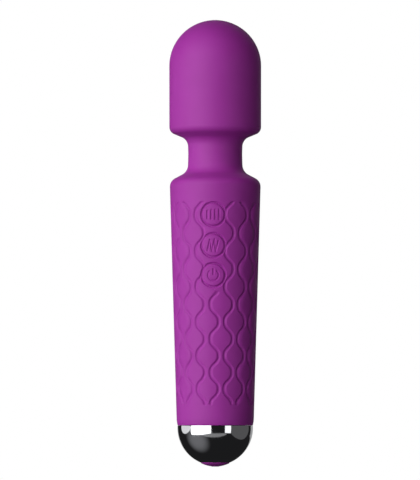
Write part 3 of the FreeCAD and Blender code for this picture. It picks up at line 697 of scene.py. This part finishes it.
CAP_RADIUS = (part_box("end_cap")[1][0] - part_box("end_cap")[0][0]) / 2
CAP_RIM = SKIN_BOTTOM - 0.02 * MM
BALL_CENTRE = SKIN_BOTTOM - 1.1 * MM
PORT_RADIUS = 6.75 * MM
LIP_ROUND = 0.25 * MM
RIM_ROUND = 0.15 * MM
CAP_WALL = 1.7 * MM
COLLAR = (12.2 * MM, 13.7 * MM)
COLLAR_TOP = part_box("end_cap")[1][2]
CAP_COLUMNS = 256
BALL_POINTS = 120
LIP_POINTS = 9
RIM_POINTS = 6


def arc(centre, radius, start, end, count):
    """Points of an arc about a centre, from one angle to another."""
    turn = np.linspace(start, end, count)
    return np.array(centre) + radius * np.stack([np.cos(turn), np.sin(turn)], axis=1)


def bowl_profile():
    """From inside the port round its lip, up the ball and the short cylinder, over the rim, up the collar
    that plugs into the handle, and down its inside to the ledge."""
    start = -math.acos((PORT_RADIUS + LIP_ROUND) / CAP_RADIUS)
    ball = arc((0, BALL_CENTRE), CAP_RADIUS, start, 0, BALL_POINTS)
    lip_centre = ball[0] * (1 - LIP_ROUND / CAP_RADIUS) + np.array([0, BALL_CENTRE]) * LIP_ROUND / CAP_RADIUS
    lip = arc(lip_centre, LIP_ROUND, -math.pi, start, LIP_POINTS)[:-1]
    rim = arc((CAP_RADIUS - RIM_ROUND, CAP_RIM - RIM_ROUND), RIM_ROUND, 0, math.pi / 2, RIM_POINTS)
    throat = [(PORT_RADIUS, lip_centre[1] + CAP_WALL)]
    outside = [(COLLAR[1], CAP_RIM), (COLLAR[1], COLLAR_TOP)]
    inside = [(COLLAR[0], COLLAR_TOP), (COLLAR[0], BALL_CENTRE)]
    return np.vstack([throat, lip, ball, rim, outside, inside])


def chrome():
    """Bright decorative chrome: a near-perfect mirror with a faint haze where it has been handled."""
    material, tree, output = new_material("chrome_plate")
    place = add_node(tree, "ShaderNodeTexCoord")
    smudge = add_node(
        tree,
        "ShaderNodeTexNoise",
        {"Vector": place.outputs["Object"], "Scale": 1 / (9 * MM), "Detail": 3.0},
    )
    haze = add_node(
        tree,
        "ShaderNodeMapRange",
        {"Value": smudge.outputs["Fac"], "From Min": 0.35, "From Max": 0.8, "To Min": 0.04, "To Max": 0.12},
    )
    plate = add_node(
        tree,
        "ShaderNodeBsdfPrincipled",
        {"Base Color": srgb("#D8D9DC"), "Metallic": 1.0, "Roughness": haze.outputs["Result"]},
    )
    tree.links.new(plate.outputs[0], output.inputs["Surface"])
    return material


cap = turned_piece("chrome_cap", bowl_profile(), CAP_COLUMNS, chrome())
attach(cap, "handle")
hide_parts("end_cap")


# ------------------------------------------------------------------ charging port seal
# A soft plug of the same silicone in the middle of the chrome cap, with a pinhole that grips the charger's
# pin.

SEAL_RADIUS = 6.65 * MM
PINHOLE_RADIUS = 1.35 * MM
SEAL_CURVE = 13.8 * MM
SEAL_SINK = 0.02 * MM
SEAL_COLUMNS = 128
DOME_POINTS = 24
PINHOLE_ROUND = 0.25 * MM
PINHOLE_TOP = 5.7 * MM
SEAL_EDGE = 0.3 * MM
SEAL_SHOULDER = 2.0 * MM
SEAL_SHOULDER_ROUND = 0.4 * MM
SEAL_SHOULDER_TURN = 0.3 * math.pi
SEAL_TOP = 4.6 * MM

seal_dome = np.linspace(PINHOLE_RADIUS + PINHOLE_ROUND, SEAL_RADIUS - SEAL_EDGE, DOME_POINTS)
seal_profile = np.vstack(
    [
        [(PINHOLE_RADIUS, PINHOLE_TOP)],
        arc(
            (PINHOLE_RADIUS + PINHOLE_ROUND, PINHOLE_ROUND + SEAL_SINK),
            PINHOLE_ROUND,
            -math.pi,
            -math.pi / 2,
            RIM_POINTS,
        ),
        np.stack([seal_dome, SEAL_SINK + seal_dome**2 / (2 * SEAL_CURVE)], axis=1)[1:],
        arc(
            (SEAL_RADIUS - SEAL_SHOULDER_ROUND, SEAL_SHOULDER),
            SEAL_SHOULDER_ROUND,
            -SEAL_SHOULDER_TURN,
            0,
            RIM_POINTS,
        ),
        [(SEAL_RADIUS, SEAL_TOP)],
    ]
)
seal = turned_piece("port_seal_skin", seal_profile, SEAL_COLUMNS, SILICONE)
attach(seal, "handle")
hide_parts("port_seal")


# ------------------------------------------------------------------ inside parts
# Everything inside, but for the spring and leads in the neck, keeps its own moulded, turned, pressed or wound
# shape. Each piece gets the finish it is made with.


def finish(name, colour, second, grain, roughness, metallic=0.0, bump=0.1):
    """A finish whose colour drifts between two shades in grains of a real size in millimetres, with a bump
    of the same grain and a roughness that drifts by a tenth either way."""
    material, tree, output = new_material(name)
    place = add_node(tree, "ShaderNodeTexCoord")
    noise = add_node(
        tree,
        "ShaderNodeTexNoise",
        {"Vector": place.outputs["Object"], "Scale": 1 / (grain * MM), "Detail": 4.0},
    )
    tint = add_node(tree, "ShaderNodeValToRGB", {"Fac": noise.outputs["Fac"]})
    tint.color_ramp.elements[0].color = srgb(colour)
    tint.color_ramp.elements[1].color = srgb(second)
    gloss = add_node(
        tree,
        "ShaderNodeMapRange",
        {"Value": noise.outputs["Fac"], "To Min": roughness * 0.9, "To Max": roughness * 1.1},
    )
    relief = add_node(
        tree, "ShaderNodeBump", {"Height": noise.outputs["Fac"], "Strength": bump, "Distance": 0.05 * MM}
    )
    body = add_node(
        tree,
        "ShaderNodeBsdfPrincipled",
        {
            "Base Color": tint.outputs["Color"],
            "Metallic": metallic,
            "Roughness": gloss.outputs["Result"],
            "Normal": relief.outputs["Normal"],
        },
    )
    tree.links.new(body.outputs[0], output.inputs["Surface"])
    return material


FINISHES = {
    # moulded ABS: shells and keys in natural white, holders in black, both from a spark-eroded mould
    "white_abs": finish("moulded_white_abs", "#DAD8D0", "#E4E2DA", 0.6, 0.45),
    "black_abs": finish("moulded_black_abs", "#161617", "#1E1E20", 0.6, 0.5),
    # glass-epoxy board under green solder mask, with a faint weave-sized drift
    "board_laminate": finish("solder_mask", "#0E4A26", "#12592F", 1.2, 0.3),
    "component_black": finish("epoxy_moulding", "#131314", "#1C1C1D", 0.3, 0.55),
    "light_lens": finish("clear_lens_resin", "#E8E6DA", "#F4F2E8", 0.8, 0.15),
    # metals: zinc-plated screws, drawn spring wire, plated pressings, rolled nickel strip
    "zinc_screw": finish("zinc_plate", "#A7A9AB", "#BEC0C2", 0.5, 0.35, 1.0),
    "spring_steel": finish("drawn_spring_wire", "#8B8D90", "#A0A2A5", 0.4, 0.3, 1.0),
    "motor_steel": finish("plated_pressing", "#9A9C9F", "#AEB0B2", 0.7, 0.32, 1.0),
    "nickel_strip": finish("rolled_nickel", "#B3AFA3", "#C2BEB2", 0.5, 0.28, 1.0),
    "cell_core": finish("nickel_plated_can", "#A9A8A2", "#BAB8B2", 0.9, 0.3, 1.0),
    # sintered and pressed parts are grainy and dull
    "ferrite": finish("sintered_ferrite", "#2A2A2C", "#38383A", 0.3, 0.7, 0.0, 0.3),
    "bronze_bush": finish("sintered_bronze", "#8A6A3C", "#A07C48", 0.25, 0.5, 1.0, 0.25),
    "carbon": finish("pressed_carbon", "#202022", "#2C2C2E", 0.25, 0.6, 0.0, 0.25),
    # enamelled copper wire and a turned brass weight
    "copper_winding": finish("enamelled_copper", "#9C4A22", "#B85C2C", 0.3, 0.3, 1.0, 0.4),
    "brass_weight": finish("turned_brass", "#B08D4A", "#C29E58", 0.4, 0.3, 1.0),
    # soft parts: shrink film, foam, rubber sleeve, lead insulation
    "battery_wrap_film": finish("shrink_film", "#16407C", "#1B4A8E", 2.0, 0.25),
    "black_foam": finish("closed_cell_foam", "#1A1A1B", "#29292B", 0.4, 0.9, 0.0, 0.6),
    "black_rubber": finish("moulded_rubber", "#141415", "#1E1E1F", 0.4, 0.7),
    "lead_insulation": finish("lead_insulation", "#A01E18", "#B4241C", 0.8, 0.4),
    "purple_silicone": SILICONE,
}

slots = {entry["node"]: entry["material_slot"] for entry in frame["record"]["subparts"]}
for node, thing in frame["nodes"].items():
    if slots[node] in FINISHES:
        thing.data.materials.clear()
        thing.data.materials.append(FINISHES[slots[node]])


# ------------------------------------------------------------------ neck spring and motor leads
# A coil spring stands on the two spring seats, and two leads run up its middle. Each is drawn as a lower
# and an upper length, which meet at the middle of the neck.

WIRE_RADIUS = 0.8 * MM
SPRING_RADIUS = 6.3 * MM
SPRING_PITCH = 2.6 * MM
SPRING_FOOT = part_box("neck_spring")[0][2] + WIRE_RADIUS
SPRING_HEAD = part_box("neck_spring")[1][2] - WIRE_RADIUS
LEAD_RADIUS = 0.6 * MM
LEAD_ASIDE = 1.3 * MM
# the leads' route, as (y, z)
LEAD_CORNERS = [(-5.85 * MM, 117 * MM), (-5.85 * MM, 122.5 * MM), (0, 128.5 * MM), (0, 160.6 * MM)]
LEAD_BEND = 3.0 * MM
LEAD_SPACING = 0.8 * MM
COIL_POINTS = 240
TUBE_SIDES = 16


def tube(name, path, across, radius, node):
    """A round tube along a path. Its rings are spanned by a direction square to the path and by that
    direction's cross product with the path's own, and a fan closes either end."""
    along = np.gradient(path, axis=0)
    along /= np.linalg.norm(along, axis=1)[:, None]
    turn = np.linspace(0, 2 * math.pi, TUBE_SIDES, endpoint=False)[None, :, None]
    square = np.cross(along, across)[:, None]
    rings = path[:, None] + radius * (np.cos(turn) * across[:, None] + np.sin(turn) * square)
    points = np.vstack([rings.reshape(-1, 3), path[:1], path[-1:]])
    first = np.arange(TUBE_SIDES)
    last = first + (len(path) - 1) * TUBE_SIDES
    low_end = np.stack([np.roll(first, -1), first, np.full(TUBE_SIDES, len(points) - 2)], axis=1)
    high_end = np.stack([last, np.roll(last, -1), np.full(TUBE_SIDES, len(points) - 1)], axis=1)
    faces = [ring_quads(len(path), TUBE_SIDES).reshape(-1, 4), low_end, high_end]
    piece = mesh_piece(name, points, faces, FINISHES[slots[node]])
    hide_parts(node)
    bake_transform(piece)


for part, low, high, bend in (
    ("lower", SPRING_FOOT, NECK_WAIST[1], LOWER_BEND),
    ("upper", NECK_WAIST[1], SPRING_HEAD, UPPER_BEND),
):
    level = np.linspace(low, high, COIL_POINTS)
    turn = (level - SPRING_FOOT) / SPRING_PITCH * 2 * math.pi
    outward = np.stack([np.cos(turn), np.sin(turn), np.zeros(turn.size)], axis=1)
    coil = outward * SPRING_RADIUS + np.stack([np.zeros(turn.size), np.zeros(turn.size), level], axis=1)
    tube(f"neck_spring_{part}", coil, outward, WIRE_RADIUS, "neck_spring")

lead_path = rounded_path(LEAD_CORNERS, [LEAD_BEND, LEAD_BEND], LEAD_SPACING)
waist = [(0, NECK_WAIST[1])]
for part, run, bend in (
    ("lower", np.vstack([lead_path[lead_path[:, 1] < NECK_WAIST[1]], waist]), LOWER_BEND),
    ("upper", np.vstack([waist, lead_path[lead_path[:, 1] > NECK_WAIST[1]]]), UPPER_BEND),
):
    for side, aside in (("left", -LEAD_ASIDE), ("right", LEAD_ASIDE)):
        path = np.hstack([np.full((len(run), 1), aside), run])
        sideways = np.tile([1.0, 0.0, 0.0], (len(run), 1))
        tube(f"motor_lead_{side}_{part}", path, sideways, LEAD_RADIUS, "motor_leads")
